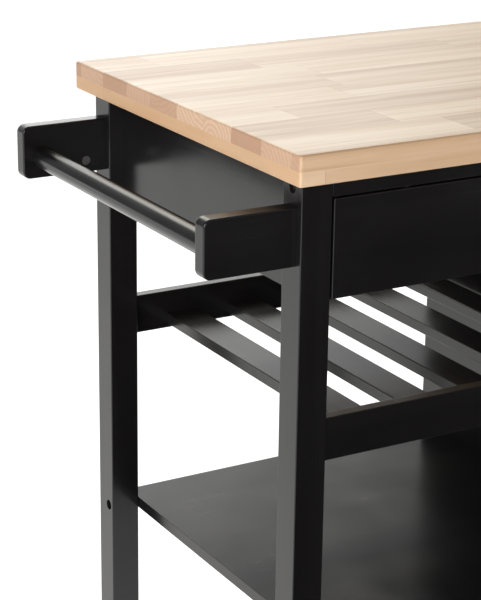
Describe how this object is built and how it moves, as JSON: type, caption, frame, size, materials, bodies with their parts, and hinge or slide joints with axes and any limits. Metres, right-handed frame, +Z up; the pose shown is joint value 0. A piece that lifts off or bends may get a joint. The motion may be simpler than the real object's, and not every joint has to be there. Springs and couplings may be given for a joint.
{
  "type": "kitchen island cart",
  "caption": "Wheeled kitchen island with a butcher-block worktop, drawers, a slatted shelf, a solid lower shelf, a centre partition and a towel bar at one end.",
  "frame": {"origin": "on the floor, under the middle of the leg frame (the towel bar at the -X end and the worktop's overhang aren't counted)", "axes": "+X along the length, away from the towel bar; -Y towards the drawer fronts; +Z up"},
  "size_m": [1.234, 0.565, 0.86],
  "materials": {
    "worktop_wood": "satin oiled",
    "black_wood": "satin black lacquer",
    "inner_wood": "clear sealed",
    "fitting_steel": "zinc plated",
    "knob_steel": "brushed nickel",
    "caster_steel": "zinc plated",
    "hub_plastic": "moulded",
    "tyre_rubber": "matte",
    "pedal_plastic": "moulded"
  },
  "bodies": {
    "frame": {"back_apron": "black_wood", "caster_stems": "caster_steel", "centre_partition": "black_wood", "connector_bolts": "fitting_steel", "connector_nuts": "fitting_steel", "dowels": "inner_wood", "drawer_runners": "inner_wood", "front_top_rail": "black_wood", "leg_back_left": "black_wood", "leg_back_right": "black_wood", "leg_front_left": "black_wood", "leg_front_right": "black_wood", "lower_shelf": "black_wood", "side_panel_left": "black_wood", "side_panel_right": "black_wood", "slat_01": "black_wood", "slat_02": "black_wood", "slat_03": "black_wood", "slat_04": "black_wood", "slat_05": "black_wood", "slat_06": "black_wood", "slat_07": "black_wood", "slat_08": "black_wood", "slat_09": "black_wood", "slat_10": "black_wood", "slat_rail_back": "black_wood", "slat_rail_front": "black_wood", "towel_bar": "black_wood", "towel_bracket_back": "black_wood", "towel_bracket_front": "black_wood", "worktop": "worktop_wood", "worktop_angles": "fitting_steel", "worktop_screws": "fitting_steel"},
    "caster_back_left_swivel": {"caster_back_left_fork": "caster_steel"},
    "caster_back_left_wheel": {"caster_back_left_hub": "hub_plastic", "caster_back_left_tyre": "tyre_rubber"},
    "caster_back_right_swivel": {"caster_back_right_fork": "caster_steel"},
    "caster_back_right_wheel": {"caster_back_right_hub": "hub_plastic", "caster_back_right_tyre": "tyre_rubber"},
    "caster_front_left_brake": {"caster_front_left_brake_pedal": "pedal_plastic"},
    "caster_front_left_swivel": {"caster_front_left_fork": "caster_steel"},
    "caster_front_left_wheel": {"caster_front_left_hub": "hub_plastic", "caster_front_left_tyre": "tyre_rubber"},
    "caster_front_right_brake": {"caster_front_right_brake_pedal": "pedal_plastic"},
    "caster_front_right_swivel": {"caster_front_right_fork": "caster_steel"},
    "caster_front_right_wheel": {"caster_front_right_hub": "hub_plastic", "caster_front_right_tyre": "tyre_rubber"},
    "drawer_left": {"drawer_left_back": "inner_wood", "drawer_left_bottom": "inner_wood", "drawer_left_front": "black_wood", "drawer_left_knob": "knob_steel", "drawer_left_side_inner": "inner_wood", "drawer_left_side_outer": "inner_wood"},
    "drawer_right": {"drawer_right_back": "inner_wood", "drawer_right_bottom": "inner_wood", "drawer_right_front": "black_wood", "drawer_right_knob": "knob_steel", "drawer_right_side_inner": "inner_wood", "drawer_right_side_outer": "inner_wood"}
  },
  "joints": [
    {"name": "drawer_left_slide", "type": "slide", "parent": "frame", "child": "drawer_left", "axis": [0, -1, 0], "range_m": [0, 0.3]},
    {"name": "drawer_right_slide", "type": "slide", "parent": "frame", "child": "drawer_right", "axis": [0, -1, 0], "range_m": [0, 0.3]},
    {"name": "caster_front_left_swivel_turn", "type": "hinge", "parent": "frame", "child": "caster_front_left_swivel", "pos_m": [-0.53, -0.238, 0.0687], "axis": [0, 0, 1], "continuous": true},
    {"name": "caster_front_left_wheel_roll", "type": "hinge", "parent": "caster_front_left_swivel", "child": "caster_front_left_wheel", "pos_m": [-0.55, -0.238, 0.03], "axis": [0, 1, 0], "continuous": true},
    {"name": "caster_front_left_brake_press", "type": "hinge", "parent": "caster_front_left_swivel", "child": "caster_front_left_brake", "pos_m": [-0.556, -0.238, 0.065], "axis": [0, -1, 0], "range_deg": [0, 18]},
    {"name": "caster_front_right_swivel_turn", "type": "hinge", "parent": "frame", "child": "caster_front_right_swivel", "pos_m": [0.53, -0.238, 0.0687], "axis": [0, 0, 1], "continuous": true},
    {"name": "caster_front_right_wheel_roll", "type": "hinge", "parent": "caster_front_right_swivel", "child": "caster_front_right_wheel", "pos_m": [0.51, -0.238, 0.03], "axis": [0, 1, 0], "continuous": true},
    {"name": "caster_front_right_brake_press", "type": "hinge", "parent": "caster_front_right_swivel", "child": "caster_front_right_brake", "pos_m": [0.504, -0.238, 0.065], "axis": [0, -1, 0], "range_deg": [0, 18]},
    {"name": "caster_back_left_swivel_turn", "type": "hinge", "parent": "frame", "child": "caster_back_left_swivel", "pos_m": [-0.53, 0.238, 0.0687], "axis": [0, 0, 1], "continuous": true},
    {"name": "caster_back_left_wheel_roll", "type": "hinge", "parent": "caster_back_left_swivel", "child": "caster_back_left_wheel", "pos_m": [-0.55, 0.238, 0.03], "axis": [0, 1, 0], "continuous": true},
    {"name": "caster_back_right_swivel_turn", "type": "hinge", "parent": "frame", "child": "caster_back_right_swivel", "pos_m": [0.53, 0.238, 0.0687], "axis": [0, 0, 1], "continuous": true},
    {"name": "caster_back_right_wheel_roll", "type": "hinge", "parent": "caster_back_right_swivel", "child": "caster_back_right_wheel", "pos_m": [0.51, 0.238, 0.03], "axis": [0, 1, 0], "continuous": true}
  ]
}
